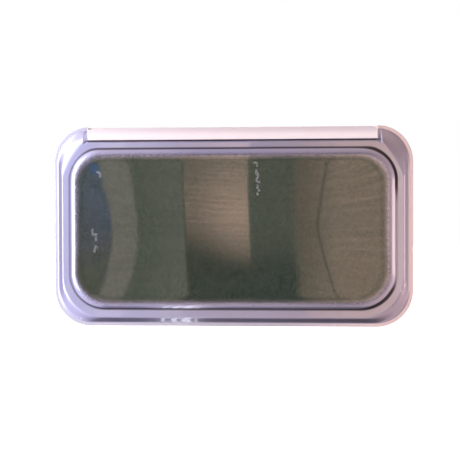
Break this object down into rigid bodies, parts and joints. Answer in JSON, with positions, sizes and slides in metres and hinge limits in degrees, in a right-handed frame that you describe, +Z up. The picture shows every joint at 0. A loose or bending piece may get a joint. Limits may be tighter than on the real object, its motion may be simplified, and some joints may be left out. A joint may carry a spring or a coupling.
{
  "type": "caravan window",
  "caption": "Top-hung caravan window with a formed double acrylic pane, hinge rail, hollow rubber seal, telescopic stays and turn catches.",
  "frame": {"origin": "middle of the wall rail's flat back face, on the plane of the vehicle's wall", "axes": "+X along the hinge, +Y into the vehicle through the wall, +Z up; the pane's outside faces -Y and it hangs below the origin"},
  "size_m": [0.9, 0.0655, 0.4999],
  "materials": {
    "painted_acrylic": "silver painted border round a dark tinted field",
    "clear_acrylic": "tinted, clear and glossy",
    "bright_rail": "bright satin lacquer on aluminium",
    "aluminium": "mill finish",
    "cap_plastic": "satin white",
    "rubber": "matt black",
    "grey_plastic": "moulded dark grey",
    "button_plastic": "moulded light grey",
    "steel": "zinc plated"
  },
  "bodies": {
    "root": {"outer_pane": "painted_acrylic", "inner_pane": "clear_acrylic", "vent_plug_left": "grey_plastic", "vent_plug_right": "grey_plastic", "wall_rail": "aluminium", "sash_rail": "bright_rail", "rail_cap_left": "cap_plastic", "rail_cap_right": "cap_plastic", "rail_gasket": "rubber", "seal_top": "rubber", "seal_bottom": "rubber", "seal_left": "rubber", "seal_right": "rubber", "seal_corner_top_left": "rubber", "seal_corner_top_right": "rubber", "seal_corner_bottom_left": "rubber", "seal_corner_bottom_right": "rubber", "stay_left_foot": "grey_plastic", "stay_left_tube": "aluminium", "stay_left_rod": "aluminium", "stay_left_collar": "grey_plastic", "stay_left_knob": "grey_plastic", "stay_left_wall_bracket": "steel", "stay_left_lower_pin": "steel", "stay_left_upper_pin": "steel", "stay_right_foot": "grey_plastic", "stay_right_tube": "aluminium", "stay_right_rod": "aluminium", "stay_right_collar": "grey_plastic", "stay_right_knob": "grey_plastic", "stay_right_wall_bracket": "steel", "stay_right_lower_pin": "steel", "stay_right_upper_pin": "steel", "catch_left_base": "grey_plastic", "catch_left_tongue": "steel", "catch_left_handle": "grey_plastic", "catch_left_button": "button_plastic", "catch_right_base": "grey_plastic", "catch_right_tongue": "steel", "catch_right_handle": "grey_plastic", "catch_right_button": "button_plastic"}
  },
  "joints": []
}
